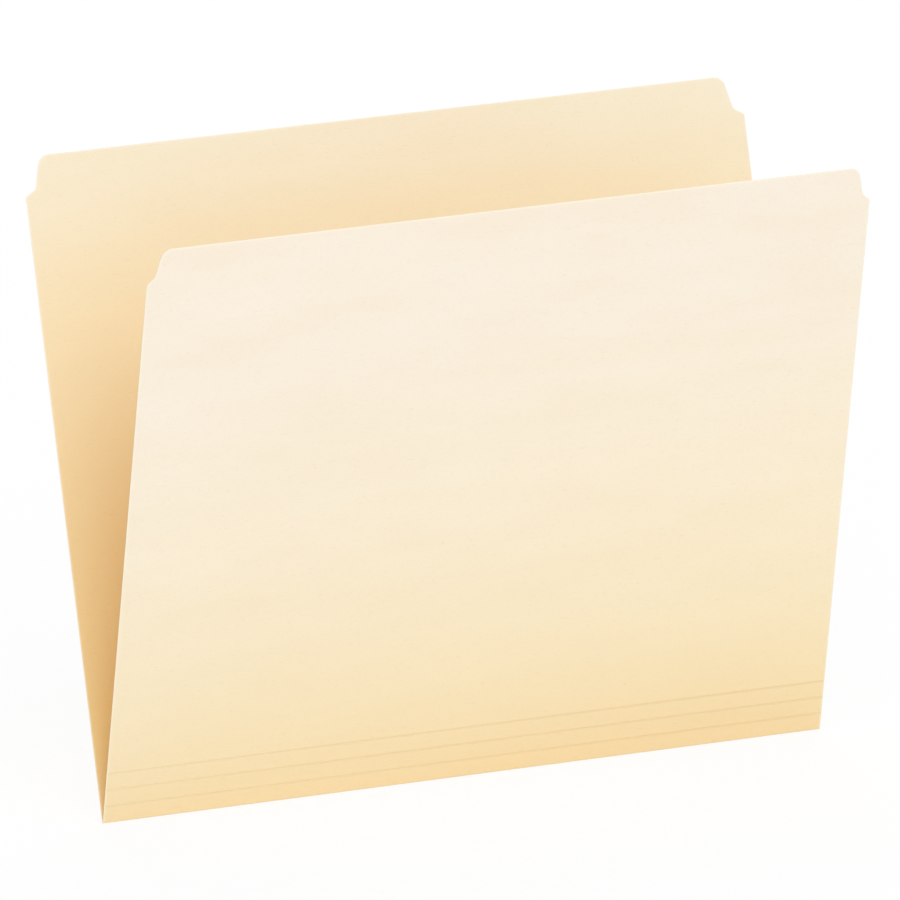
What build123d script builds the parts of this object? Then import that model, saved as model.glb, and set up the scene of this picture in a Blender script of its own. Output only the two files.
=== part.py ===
from build123d import *
from math import cos, radians, sin
import os

# Manila file folder, letter size: one sheet of card, die-cut, scored and folded once along its
# length, standing on the fold with the front leaf towards -Y and the back leaf towards +Y.
# The sheet is split along its creases, so that each flat stretch of card and each crease that
# it turns on is a solid of its own. The origin is the middle of the fold, at its lowest line.
# All lengths are millimetres and all angles degrees.

# The sheet
card_thickness = 0.28
folder_width = 298.45
back_height = 241.3
front_height = 220.5

# How far each leaf leans out from upright
front_lean_angle = 9.55
back_lean_angle = 14.34

# Score lines on the front leaf, counted up from the fold
score_spacing = 6.35
score_count = 3

# Full-width tab along the top of each leaf, stepped in at both ends
back_tab_height = 14.4
back_tab_inset = 7.3
back_step_inset = 4.4
front_tab_height = 13.0
front_tab_inset = 5.7
front_step_inset = 3.1
step_rise = 2.4
tab_corner_radius = 4.5
step_radius = 2.0
shoulder_radius = 1.0

# Clearances: between the leaves when shut, and round each crease
closed_gap = 0.2
crease_clearance = 0.05

# The fold is as thick as the shut folder, and a score line as thick as the card
fold_radius = closed_gap / 2 + card_thickness
fold_cut = fold_radius + crease_clearance
score_radius = card_thickness / 2
score_cut = score_radius + crease_clearance
half_width = folder_width / 2

# Each leaf is drawn on a plane through the fold's axis, with local Y running up the leaf.
# The section plane looks along the fold.
fold_axis = (0, 0, fold_radius)
fold_section = Plane(fold_axis, x_dir=(0, 1, 0), z_dir=(1, 0, 0))


def leaf_plane(lean_angle):
    lean = radians(lean_angle)
    return Plane(fold_axis, x_dir=(1, 0, 0), z_dir=(0, -cos(lean), -sin(lean)))


front_plane = leaf_plane(front_lean_angle)
back_plane = leaf_plane(-back_lean_angle)
front_face = front_plane.offset(closed_gap / 2)
back_face = back_plane.offset(-closed_gap / 2)

front_top = front_height - fold_radius
back_top = back_height - fold_radius


def score_height(number):
    return number * score_spacing - fold_radius


def panel_outline(foot, top, tab_height, tab_inset, step_inset):
    """Outline of a leaf from its foot up to its tab, with the tab's ends stepped in."""
    shoulder = top - tab_height
    with BuildSketch() as outline:
        with BuildLine():
            right_side = Polyline(
                (half_width, foot),
                (half_width, shoulder),
                (half_width - step_inset, shoulder + step_rise),
                (half_width - tab_inset, top),
            )
            left_side = mirror(right_side, about=Plane.YZ)
            Line(right_side @ 1, left_side @ 1)
            Line(right_side @ 0, left_side @ 0)
        make_face()
        foot_row, shoulder_row, step_row, tab_row = outline.vertices().group_by(Axis.Y)
        fillet(tab_row, radius=tab_corner_radius)
        fillet(step_row, radius=step_radius)
        fillet(shoulder_row, radius=shoulder_radius)
    return outline.sketch


os.makedirs("parts", exist_ok=True)

# Back panel: its foot is hollowed to follow the fold
with BuildPart() as back_panel:
    with BuildSketch(back_face):
        add(panel_outline(0, back_top, back_tab_height, back_tab_inset, back_step_inset))
    extrude(amount=-card_thickness)
    with BuildSketch(fold_section):
        Circle(fold_cut)
    extrude(amount=half_width, both=True, mode=Mode.SUBTRACT)
back_panel.part.label = "back_panel"
export_step(back_panel.part, "parts/back_panel.step")

# Main fold: the rounded edge that both leaves turn on
with BuildPart() as main_fold:
    with BuildSketch(fold_section):
        Circle(fold_radius)
    extrude(amount=half_width, both=True)
main_fold.part.label = "main_fold"
export_step(main_fold.part, "parts/main_fold.step")

# Score creases: pressed lines as thick as the card, in line with its mid-plane
for number in range(1, score_count + 1):
    crease_axis = front_plane.from_local_coords((0, score_height(number), closed_gap / 2 + score_radius))
    with BuildPart() as score_crease:
        with BuildSketch(Plane(crease_axis, x_dir=(0, 1, 0), z_dir=(1, 0, 0))):
            Circle(score_radius)
        extrude(amount=half_width, both=True)
    score_crease.part.label = f"score_crease_{number}"
    export_step(score_crease.part, f"parts/score_crease_{number}.step")

# Expansion strips: the narrow bands of card between the fold and the score lines
for number in range(1, score_count + 1):
    strip_foot = score_height(number - 1) + score_cut if number > 1 else 0
    strip_top = score_height(number) - score_cut
    with BuildPart() as expansion_strip:
        with BuildSketch(front_face):
            with Locations((0, (strip_foot + strip_top) / 2)):
                Rectangle(folder_width, strip_top - strip_foot)
        extrude(amount=card_thickness)
        if number == 1:
            with BuildSketch(fold_section):
                Circle(fold_cut)
            extrude(amount=half_width, both=True, mode=Mode.SUBTRACT)
    expansion_strip.part.label = f"expansion_strip_{number}"
    export_step(expansion_strip.part, f"parts/expansion_strip_{number}.step")

# Front panel: from the last score line up to its own, lower tab
front_foot = score_height(score_count) + score_cut
with BuildPart() as front_panel:
    with BuildSketch(front_face):
        add(panel_outline(front_foot, front_top, front_tab_height, front_tab_inset, front_step_inset))
    extrude(amount=card_thickness)
front_panel.part.label = "front_panel"
export_step(front_panel.part, "parts/front_panel.step")
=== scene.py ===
import bmesh
import bpy
from math import cos, pi, radians, sin
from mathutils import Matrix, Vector


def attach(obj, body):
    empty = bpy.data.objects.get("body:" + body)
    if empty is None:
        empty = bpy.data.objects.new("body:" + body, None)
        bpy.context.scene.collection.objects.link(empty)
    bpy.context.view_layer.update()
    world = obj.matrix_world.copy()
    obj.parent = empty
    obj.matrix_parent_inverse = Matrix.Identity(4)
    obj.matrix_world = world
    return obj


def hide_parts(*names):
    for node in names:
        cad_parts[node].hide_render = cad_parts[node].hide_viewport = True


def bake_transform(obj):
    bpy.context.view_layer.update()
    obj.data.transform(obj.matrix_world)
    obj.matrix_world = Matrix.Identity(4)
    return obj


# A manila file folder standing open on its fold. The frame holds its panels and creases as CAD solids;
# here each becomes a stretch of real card, with rounded cut edges and stamped score lines.
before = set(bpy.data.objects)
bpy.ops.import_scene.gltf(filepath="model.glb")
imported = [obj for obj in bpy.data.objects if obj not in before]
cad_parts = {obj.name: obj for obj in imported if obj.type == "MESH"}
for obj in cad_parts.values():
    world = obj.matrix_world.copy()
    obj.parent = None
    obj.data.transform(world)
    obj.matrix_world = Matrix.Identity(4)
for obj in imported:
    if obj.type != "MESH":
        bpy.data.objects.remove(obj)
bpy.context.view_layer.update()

# Sizes of the folder, in metres and degrees, as the CAD model has them
MM = 0.001
CARD = 0.28 * MM
HALF_WIDTH = 298.45 / 2 * MM
SHUT_GAP = 0.2 * MM
FOLD_RADIUS = SHUT_GAP / 2 + CARD
BACK_TOP = 241.3 * MM - FOLD_RADIUS
BACK_LEAN = 14.34
BACK_TAB_HEIGHT = 14.4 * MM
BACK_TAB_INSET = 7.3 * MM
BACK_STEP_INSET = 4.4 * MM
FRONT_TOP = 220.5 * MM - FOLD_RADIUS
FRONT_LEAN = 9.55
FRONT_TAB_HEIGHT = 13.0 * MM
FRONT_TAB_INSET = 5.7 * MM
FRONT_STEP_INSET = 3.1 * MM
STEP_RISE = 2.4 * MM
SCORE_SPACING = 6.35 * MM
SCORES = [number * SCORE_SPACING - FOLD_RADIUS for number in (1, 2, 3)]

# How the card is cut, scored and folded
TAB_CORNER_RUN = 3.6 * MM             # how far each rounding runs along the edges beside its corner
STEP_RUN = 1.0 * MM
SHOULDER_RUN = 0.6 * MM
RIM = 0.8 * MM                        # band beside a cut edge that is painted paler, a painted highlight
EDGE_ROUND = 0.07 * MM                # the cutting die rolls the card's edges over a little
SHARP_EDGE = 1.2                      # radians between two faces, past which their edge is a cut one
SMOOTH_EDGE = 40                      # degrees between two faces, up to which they are shaded as one
SCORE_HALF = 0.6 * MM                 # half the width of a stamped score line
SCORE_SHADE_HALF = 0.55 * MM             # half the width of the painted shade along a score line
SCORE_DEPTH = 0.12 * MM
SCORE_ROWS = 12
FOLD_HALF = HALF_WIDTH - 0.02 * MM    # the bend pulls the fold's ends in a hair from the leaves' sides
FOLD_STEPS = 40
LEVEL = 0.01 * MM                     # places nearer than this are taken as the same
OUT_FRONT, OUT_BACK = 1, -1           # the way a leaf's outside faces while the leaf is drawn flat

# Tones of the card at heights up the leaf, in millimetres, and the height that they are spread over
# Outside: the card's buff with painted light and shade, paler toward the tab and deeper by the fold
OUTSIDE_TONES_AND_SHADE = {0: "#F8E0B0", 45: "#FBEBC8", 110: "#FCF0D9", 175: "#FBF1E1"}
# Inside: the card's buff with painted shade, deeper than the outside and deepest by the fold
INSIDE_TONES_AND_SHADE = {45: "#F9DFA4", 120: "#F9E2B3", 193: "#F8E9C8", 234: "#FAF1DA"}
TONE_SPAN = 250
SHADE_SLANT = -0.055                   # slant of the outside's painted shade, as height for each metre along the fold
# painted shade in the score lines, on top of the real shading of their grooves
SCORE_SHADE_COLOUR = "#DDBE86"
SCORE_SHADE_MIDDLE = 0.19                   # share of painted shade at the middle of a score line
SCORE_SHADE_SLANT = 0.39                    # and how it grows for each metre along the fold
CLOUDY = "#F3DDB4"
FIBRE = "#D3B27F"
FIBRE_LAYERS = ((8, 0.16), (70, 0.10), (-50, 0.10))    # turn from the fold, in degrees, and strength
# the card's pale cut edge, and the painted highlight on the band beside it
CUT_EDGE_AND_HIGHLIGHT = "#FFF8E6"

# The studio, in metres and watts, and the viewpoint of the photograph, in degrees and metres, with its
# sensor and lens in millimetres
ROOM_LIGHT = 0.7
LAMPS = {"key_lamp": ((-0.5, -1.6, 1.9), 19), "fill_lamp": ((0.9, 1.7, 1.5), 12)}
LAMP_SIZE = 1.6
LAMP_AIM = Vector((0, 0, 0.1))
FLOOR_SIZE = 8
FLOOR_DROP = 0.15 * MM                # keeps the floor just clear of the fold
FLOOR_PAINT = "#FAFAFA"
FLOOR_WHITENESS = 0.85
CAMERA_TURN, CAMERA_RISE = -29.34, 12.73
CAMERA_DISTANCE = 8.0
CAMERA_SENSOR, CAMERA_LENS = 36, 884.6
CAMERA_REACH = 40
AIM_HEIGHT, AIM_RIGHT, AIM_UP = 0.110, -0.00514, 0.01089


def hex_linear(code):
    """sRGB hex colour as linear RGBA."""
    channels = [int(code[i:i + 2], 16) / 255 for i in (1, 3, 5)]
    return [c / 12.92 if c <= 0.04045 else ((c + 0.055) / 1.055) ** 2.4 for c in channels] + [1.0]


def per_metre(size_mm):
    """Texture scale whose cells are size_mm across."""
    return 1000 / size_mm


def add_node(tree, kind, inputs=None, **settings):
    """Adds a node, sets its own settings, and gives each input a value or a link."""
    node = tree.nodes.new(kind)
    for name, value in settings.items():
        setattr(node, name, value)
    for name, value in (inputs or {}).items():
        if isinstance(value, bpy.types.NodeSocket):
            tree.links.new(value, node.inputs[name])
        else:
            node.inputs[name].default_value = value
    return node


def new_material(name):
    material = bpy.data.materials.new(name)
    material.use_nodes = True
    material.node_tree.nodes.clear()
    return material, material.node_tree


def tone_up_leaf(tree, height, tones):
    """Colour that runs through the tones given for heights up the leaf, in millimetres."""
    share = add_node(tree, "ShaderNodeMapRange", {"Value": height, "From Max": TONE_SPAN * MM})
    ramp = add_node(tree, "ShaderNodeValToRGB", {"Fac": share.outputs["Result"]})
    stops = ramp.color_ramp.elements
    while len(stops) < len(tones):
        stops.new(0.5)
    for stop, (at, tone) in zip(stops, tones.items()):
        stop.position = at / TONE_SPAN
        stop.color = hex_linear(tone)
    return ramp.outputs["Color"]


def calendered_manila_card():
    """Manila card: buff wood pulp pressed smooth between steel rolls. It is matt with a low, even sheen,
    cloudy where the pulp lay unevenly, flecked with fibres that show most along the fold, and paler where
    it is cut. It also carries painted light and shade: paler toward the tab, deeper buff by the fold and
    inside, darker along the score lines, and a painted highlight beside the cut edges."""
    material, tree = new_material("calendered_manila_card")
    place = add_node(tree, "ShaderNodeTexCoord").outputs["Object"]

    # Painted light and shade on the outside: paler cream toward the tab, a little paler at one side, deeper
    # buff by the fold
    side = add_node(tree, "ShaderNodeSeparateXYZ", {"Vector": place}).outputs["X"]
    height = add_node(tree, "ShaderNodeAttribute", attribute_name="up_leaf").outputs["Fac"]
    shaded_height = add_node(tree, "ShaderNodeMath", {0: side, 1: SHADE_SLANT, 2: height}, operation="MULTIPLY_ADD")
    outside = tone_up_leaf(tree, shaded_height.outputs["Value"], OUTSIDE_TONES_AND_SHADE)
    # Painted shade on the inside: a deeper buff than the outside, deepest down by the fold
    inside = tone_up_leaf(tree, height, INSIDE_TONES_AND_SHADE)
    which = add_node(tree, "ShaderNodeAttribute", attribute_name="inside").outputs["Fac"]
    tone = add_node(tree, "ShaderNodeMix", {"Factor": which, "A": outside, "B": inside}, data_type="RGBA")

    # Painted shade darkens the bottom of each score line's groove, more towards one end, over the groove's
    # real shading
    score = add_node(tree, "ShaderNodeAttribute", attribute_name="score").outputs["Fac"]
    score_shade_share = add_node(
        tree, "ShaderNodeMath", {0: side, 1: SCORE_SHADE_SLANT, 2: SCORE_SHADE_MIDDLE}, operation="MULTIPLY_ADD"
    )
    score_shade_amount = add_node(tree, "ShaderNodeMath", {0: score, 1: score_shade_share.outputs["Value"]}, operation="MULTIPLY")
    tone = add_node(
        tree, "ShaderNodeMix",
        {"Factor": score_shade_amount.outputs["Value"], "A": tone.outputs["Result"], "B": hex_linear(SCORE_SHADE_COLOUR)},
        data_type="RGBA",
    )

    # Cloudiness of the pulp, 14 mm across and drawn out along the fold
    stretched = add_node(tree, "ShaderNodeMapping", {"Vector": place, "Scale": (0.25, 1.0, 1.0)})
    cloud = add_node(
        tree, "ShaderNodeTexNoise",
        {"Vector": stretched.outputs["Vector"], "Scale": per_metre(14), "Detail": 3.0},
    )
    cloud_amount = add_node(
        tree, "ShaderNodeMapRange",
        {"Value": cloud.outputs["Fac"], "From Min": 0.3, "From Max": 0.7, "To Min": 0.0, "To Max": 0.16},
    )
    clouded = add_node(
        tree, "ShaderNodeMix",
        {"Factor": cloud_amount.outputs["Result"], "A": tone.outputs["Result"], "B": hex_linear(CLOUDY)},
        data_type="RGBA",
    )

    # Fibre flecks lying three ways. Real ones are 0.05 mm wide: they are drawn 0.3 mm wide and 2 mm long so
    # that they show
    flecked = clouded.outputs["Result"]
    for turn, strength in FIBRE_LAYERS:
        along = add_node(
            tree, "ShaderNodeMapping",
            {"Vector": place, "Rotation": (0, radians(turn), 0), "Scale": (7, 1, 1)}, vector_type="TEXTURE",
        )
        fibre = add_node(
            tree, "ShaderNodeTexNoise",
            {"Vector": along.outputs["Vector"], "Scale": per_metre(0.3), "Detail": 1.0, "Distortion": 0.6},
        )
        fibre_amount = add_node(
            tree, "ShaderNodeMapRange",
            {"Value": fibre.outputs["Fac"], "From Min": 0.64, "From Max": 0.76,
             "To Min": 0.0, "To Max": strength},
        )
        flecked = add_node(
            tree, "ShaderNodeMix",
            {"Factor": fibre_amount.outputs["Result"], "A": flecked, "B": hex_linear(FIBRE)},
            data_type="RGBA",
        ).outputs["Result"]

    # Cut edges show the pale, undyed inside of the card; the band beside them is paler with a painted
    # highlight
    rim = add_node(tree, "ShaderNodeAttribute", attribute_name="rim").outputs["Fac"]
    rim_amount = add_node(tree, "ShaderNodeMapRange", {"Value": rim, "To Max": 0.55})
    colour = add_node(
        tree, "ShaderNodeMix",
        {"Factor": rim_amount.outputs["Result"], "A": flecked, "B": hex_linear(CUT_EDGE_AND_HIGHLIGHT)},
        data_type="RGBA",
    )

    # Grain of the pressed surface: 0.4 mm tooth, a few microns deep, drawn 0.8 mm wide so that it shows
    tooth = add_node(
        tree, "ShaderNodeTexNoise",
        {"Vector": stretched.outputs["Vector"], "Scale": per_metre(0.8), "Detail": 4.0},
    )
    bump = add_node(
        tree, "ShaderNodeBump", {"Height": tooth.outputs["Fac"], "Strength": 0.35, "Distance": 0.02 * MM}
    )
    roughness = add_node(
        tree, "ShaderNodeMapRange",
        {"Value": cloud.outputs["Fac"], "From Min": 0.3, "From Max": 0.7, "To Min": 0.62, "To Max": 0.74},
    )
    surface = add_node(
        tree, "ShaderNodeBsdfPrincipled",
        {"Base Color": colour.outputs["Result"], "Roughness": roughness.outputs["Result"],
         "Normal": bump.outputs["Normal"], "IOR": 1.47, "Specular IOR Level": 0.3},
    )
    add_node(tree, "ShaderNodeOutputMaterial", {"Surface": surface.outputs["BSDF"]})
    return material


def start_piece(name):
    """Names the primitive just added and opens it for editing."""
    piece = bpy.context.object
    piece.name = piece.data.name = name
    bpy.ops.object.mode_set(mode="EDIT")
    return piece


def select(piece, kind, test):
    """Selects the vertices, edges or faces that pass the test, and nothing else."""
    bpy.ops.mesh.select_mode(type={"verts": "VERT", "edges": "EDGE", "faces": "FACE"}[kind])
    bpy.ops.mesh.select_all(action="DESELECT")
    shape = bmesh.from_edit_mesh(piece.data)
    for item in getattr(shape, kind):
        item.select_set(test(item))
    shape.select_flush_mode()
    bmesh.update_edit_mesh(piece.data)


def near(a, b):
    return abs(a - b) < LEVEL


def middle_of(edge):
    return (edge.verts[0].co + edge.verts[1].co) / 2


def is_cut(edge):
    """Tells whether an edge is as sharp as the die leaves it."""
    return len(edge.link_faces) == 2 and edge.calc_face_angle() > SHARP_EDGE


def cut_across(axis, at, drop_below=False):
    """Bisects the whole open mesh square to an axis, and may drop what lies below the cut."""
    bpy.ops.mesh.select_all(action="SELECT")
    point, normal = [0, 0, 0], [0, 0, 0]
    point[axis], normal[axis] = at, 1
    bpy.ops.mesh.bisect(plane_co=point, plane_no=normal, clear_inner=drop_below)


def mark(piece, name, kind, test):
    """Stores an attribute that is 1 on the vertices or faces that pass the test, and 0 on the rest."""
    domain = {"verts": "POINT", "faces": "FACE"}[kind]
    bpy.ops.geometry.attribute_add(name=name, domain=domain, data_type="FLOAT")
    select(piece, kind, test)
    bpy.ops.mesh.attribute_set(value_float=1.0)


def thicken(piece, outwards):
    """Gives the flat piece the card's thickness, out from the face that the folder shuts on."""
    bpy.ops.mesh.select_mode(type="FACE")
    bpy.ops.mesh.select_all(action="SELECT")
    bpy.ops.mesh.extrude_region_move(TRANSFORM_OT_translate={"value": (0, 0, outwards * CARD)})
    bpy.ops.mesh.select_all(action="SELECT")
    bpy.ops.mesh.normals_make_consistent(inside=False)
    mark(piece, "inside", "faces", lambda f: f.normal.z * outwards < -0.5)


def round_edges(piece, test):
    """Rolls the sharp edges of a cut over by the die's rounding."""
    select(piece, "edges", lambda e: is_cut(e) and test(middle_of(e)))
    bpy.ops.mesh.bevel(offset=EDGE_ROUND, segments=2, affect="EDGES")


def stand_up(piece, tilt):
    """Stores each point's height up the leaf, then tilts the flat piece up from the fold, in degrees."""
    bpy.ops.object.mode_set(mode="OBJECT")
    heights = piece.data.attributes.new("up_leaf", "FLOAT", "POINT")
    for vertex, height in zip(piece.data.vertices, heights.data):
        height.value = max(vertex.co.y, 0.0)
    piece.rotation_euler = (radians(tilt), 0, 0)
    piece.location = (0, 0, FOLD_RADIUS)
    bpy.ops.object.transform_apply(location=True, rotation=True, scale=True)
    bpy.ops.object.shade_smooth_by_angle(angle=radians(SMOOTH_EDGE))


def finish_card(piece, node, body=None):
    """Dresses a piece in card and lets it stand for its CAD node."""
    piece.data.materials.append(card)
    if body:
        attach(piece, body)
    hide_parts(node)


def panel(name, foot, top, tab_height, tab_inset, step_inset, outwards):
    """A leaf's panel, drawn flat: side edges, shoulders, a step in and the tab above it."""
    shoulder = top - tab_height
    spare = 3 * RIM                       # cut off again below, so that the foot has no pale rim of painted highlight
    bpy.ops.object.select_all(action="DESELECT")
    bpy.ops.mesh.primitive_plane_add(size=1)
    piece = start_piece(name)
    bpy.ops.transform.resize(value=(2 * HALF_WIDTH, shoulder - foot + spare, 1))
    bpy.ops.transform.translate(value=(0, (shoulder + foot - spare) / 2, outwards * SHUT_GAP / 2))

    # Draw the step and the tab up from the shoulders, each narrower than the last
    width = HALF_WIDTH
    for rise, inset in ((STEP_RISE, step_inset), (tab_height - STEP_RISE, tab_inset)):
        edge_height = max(v.co.y for v in bmesh.from_edit_mesh(piece.data).verts)
        select(piece, "edges", lambda e: all(near(v.co.y, edge_height) for v in e.verts))
        bpy.ops.mesh.extrude_region_move(TRANSFORM_OT_translate={"value": (0, rise, 0)})
        bpy.ops.transform.resize(value=((HALF_WIDTH - inset) / width, 1, 1))
        width = HALF_WIDTH - inset
    select(piece, "edges", lambda e: len(e.link_faces) == 2)
    bpy.ops.mesh.dissolve_edges(use_verts=False)

    # Round the tab's corners, the steps and the shoulders
    for corner_height, run, segments in (
        (top, TAB_CORNER_RUN, 10), (shoulder + STEP_RISE, STEP_RUN, 6), (shoulder, SHOULDER_RUN, 4)
    ):
        select(piece, "verts", lambda v: near(v.co.y, corner_height))
        bpy.ops.mesh.bevel(offset=run, offset_type="ABSOLUTE", segments=segments, affect="VERTICES")

    # Set off the rim of painted highlight, take off the spare foot and give the card its thickness
    bpy.ops.mesh.select_all(action="SELECT")
    bpy.ops.mesh.inset(thickness=RIM, depth=0)
    mark(piece, "rim", "verts", lambda v: v.is_boundary)
    cut_across(1, foot, drop_below=True)
    thicken(piece, outwards)
    round_edges(piece, lambda point: point.y > foot + EDGE_ROUND)
    return piece


def band(name, foot, top, rows):
    """A straight band of card across the front leaf, with a pale rim of painted highlight at its two ends."""
    bpy.ops.object.select_all(action="DESELECT")
    bpy.ops.mesh.primitive_grid_add(x_subdivisions=1, y_subdivisions=rows, size=1)
    piece = start_piece(name)
    bpy.ops.transform.resize(value=(2 * HALF_WIDTH, top - foot, 1))
    bpy.ops.transform.translate(value=(0, (top + foot) / 2, OUT_FRONT * SHUT_GAP / 2))
    for side in (-1, 1):
        cut_across(0, side * (HALF_WIDTH - RIM))
    mark(piece, "rim", "verts", lambda v: near(abs(v.co.x), HALF_WIDTH))
    return piece


def strip(name, foot, top):
    """A flat band between two creases. Only its ends are cut: its long sides run on into the creases."""
    piece = band(name, foot, top, 1)
    thicken(piece, OUT_FRONT)
    round_edges(piece, lambda point: near(abs(point.x), HALF_WIDTH) and foot + MM < point.y < top - MM)
    return piece


def score_line(name, height):
    """A score line: the card stamped in from outside along a shallow, rounded groove."""
    piece = band(name, height - SCORE_HALF, height + SCORE_HALF, SCORE_ROWS)
    for row in range(1, SCORE_ROWS):
        across = (row / SCORE_ROWS * 2 - 1) * SCORE_HALF
        depth = SCORE_DEPTH * (1 + cos(pi * across / SCORE_HALF)) / 2
        select(piece, "verts", lambda v: near(v.co.y, height + across))
        bpy.ops.transform.translate(value=(0, 0, -depth))
    mark(piece, "score", "verts", lambda v: abs(v.co.y - height) < SCORE_SHADE_HALF)
    thicken(piece, OUT_FRONT)
    return piece


def fold_edge(name):
    """The fold: card rolled half a turn round a tight bend, from the front leaf's foot to the back leaf's."""
    bpy.ops.object.select_all(action="DESELECT")
    bpy.ops.mesh.primitive_plane_add(size=1)
    piece = start_piece(name)
    bpy.ops.transform.resize(value=(2 * FOLD_HALF, CARD, 1))
    bpy.ops.transform.translate(value=(0, -(SHUT_GAP + CARD) / 2, 0))
    for side in (-1, 1):
        cut_across(0, side * (FOLD_HALF - RIM))
    # pale rims of painted highlight at the fold's two ends
    mark(piece, "rim", "verts", lambda v: near(abs(v.co.x), FOLD_HALF))
    bpy.ops.mesh.select_mode(type="FACE")
    bpy.ops.mesh.select_all(action="SELECT")
    bpy.ops.mesh.spin(steps=FOLD_STEPS, angle=pi, center=(0, 0, 0), axis=(-1, 0, 0))
    bpy.ops.mesh.select_all(action="SELECT")
    bpy.ops.mesh.normals_make_consistent(inside=False)
    mark(piece, "inside", "faces", lambda f: f.calc_center_median().yz.length < SHUT_GAP / 2 + LEVEL)
    return piece


def whitened(tree, lit_shader, share):
    """Shows the camera, mirrors and glass a share of plain white over the shader that lights the scene."""
    rays = add_node(tree, "ShaderNodeLightPath").outputs
    seen = rays["Is Camera Ray"]
    for ray in ("Is Glossy Ray", "Is Transmission Ray"):
        either = add_node(tree, "ShaderNodeMath", {0: seen, 1: rays[ray]}, operation="MAXIMUM")
        seen = either.outputs["Value"]
    amount = add_node(tree, "ShaderNodeMath", {0: seen, 1: share}, operation="MULTIPLY")
    white = add_node(tree, "ShaderNodeEmission", {"Color": (1, 1, 1, 1), "Strength": 1.0})
    return add_node(
        tree, "ShaderNodeMixShader", {0: amount.outputs["Value"], 1: lit_shader, 2: white.outputs["Emission"]}
    ).outputs["Shader"]


def light_studio():
    """A white room lit evenly from all round, with a large soft lamp in front, a weaker one behind and a
    white floor."""
    world = bpy.data.worlds.new("studio")
    bpy.context.scene.world = world
    world.use_nodes = True
    tree = world.node_tree
    tree.nodes.clear()
    room = add_node(tree, "ShaderNodeBackground", {"Color": (1, 1, 1, 1), "Strength": ROOM_LIGHT})
    add_node(tree, "ShaderNodeOutputWorld", {"Surface": whitened(tree, room.outputs["Background"], 1.0)})

    for name, (place, power) in LAMPS.items():
        bpy.ops.object.light_add(type="AREA", location=place)
        lamp = bpy.context.object
        lamp.name = name
        lamp.data.shape = "SQUARE"
        lamp.data.size = LAMP_SIZE
        lamp.data.energy = power
        lamp.visible_camera = False
        lamp.rotation_euler = (LAMP_AIM - lamp.location).to_track_quat("-Z", "Y").to_euler()

    bpy.ops.object.select_all(action="DESELECT")
    bpy.ops.mesh.primitive_plane_add(size=FLOOR_SIZE, location=(0, 0, -FLOOR_DROP))
    floor = bpy.context.object
    floor.name = "floor"
    material, tree = new_material("white_painted_floor")
    paint = add_node(tree, "ShaderNodeBsdfDiffuse", {"Color": hex_linear(FLOOR_PAINT)})
    painted = whitened(tree, paint.outputs["BSDF"], FLOOR_WHITENESS)
    add_node(tree, "ShaderNodeOutputMaterial", {"Surface": painted})
    floor.data.materials.append(material)


def place_camera():
    """A long lens well back, a little above and to the left of the folder, as it was photographed."""
    turn, rise = radians(CAMERA_TURN), radians(CAMERA_RISE)
    back = Vector((sin(turn) * cos(rise), -cos(turn) * cos(rise), sin(rise)))
    right = Vector((cos(turn), sin(turn), 0))
    up = back.cross(right)
    aim = Vector((0, 0, AIM_HEIGHT)) + AIM_RIGHT * right + AIM_UP * up
    facing = back.to_track_quat("Z", "Y").to_euler()
    bpy.ops.object.camera_add(location=aim + CAMERA_DISTANCE * back, rotation=facing)
    camera = bpy.context.object
    camera.data.sensor_width = CAMERA_SENSOR
    camera.data.lens = CAMERA_LENS
    camera.data.clip_end = CAMERA_REACH
    bpy.context.scene.camera = camera


card = calendered_manila_card()

back_panel = panel(
    "back_panel_card", 0, BACK_TOP, BACK_TAB_HEIGHT, BACK_TAB_INSET, BACK_STEP_INSET, OUT_BACK
)
stand_up(back_panel, 90 - BACK_LEAN)
finish_card(back_panel, "back_panel", "back_leaf")

fold = fold_edge("main_fold_card")
stand_up(fold, 0)
finish_card(fold, "main_fold", "fold")

strip_bodies = ["front_foot", "expansion_base", "expansion_base"]
feet = [0] + [score + SCORE_HALF for score in SCORES]
for number, body in enumerate(strip_bodies, 1):
    piece = strip(f"expansion_strip_{number}_card", feet[number - 1], SCORES[number - 1] - SCORE_HALF)
    stand_up(piece, 90 + FRONT_LEAN)
    finish_card(piece, f"expansion_strip_{number}", body)

# The first and third score lines are where the bottom is squared, and the real ones bend from one body to the
# next; here they are attached to neither body
score_bodies = [("front_foot", "expansion_base"), ("expansion_base",), ("expansion_base", "front_leaf")]
for number, (height, bodies) in enumerate(zip(SCORES, score_bodies), 1):
    piece = score_line(f"score_crease_{number}_card", height)
    stand_up(piece, 90 + FRONT_LEAN)
    if len(bodies) == 1:
        finish_card(piece, f"score_crease_{number}", bodies[0])
    else:
        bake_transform(piece)
        finish_card(piece, f"score_crease_{number}")

front_panel = panel(
    "front_panel_card", feet[3], FRONT_TOP, FRONT_TAB_HEIGHT, FRONT_TAB_INSET, FRONT_STEP_INSET, OUT_FRONT
)
stand_up(front_panel, 90 + FRONT_LEAN)
finish_card(front_panel, "front_panel", "front_leaf")

light_studio()
place_camera()
bpy.context.scene.view_settings.view_transform = "Standard"
bpy.context.scene.cycles.diffuse_bounces = 10    # pale card passes light on many times down in the fold
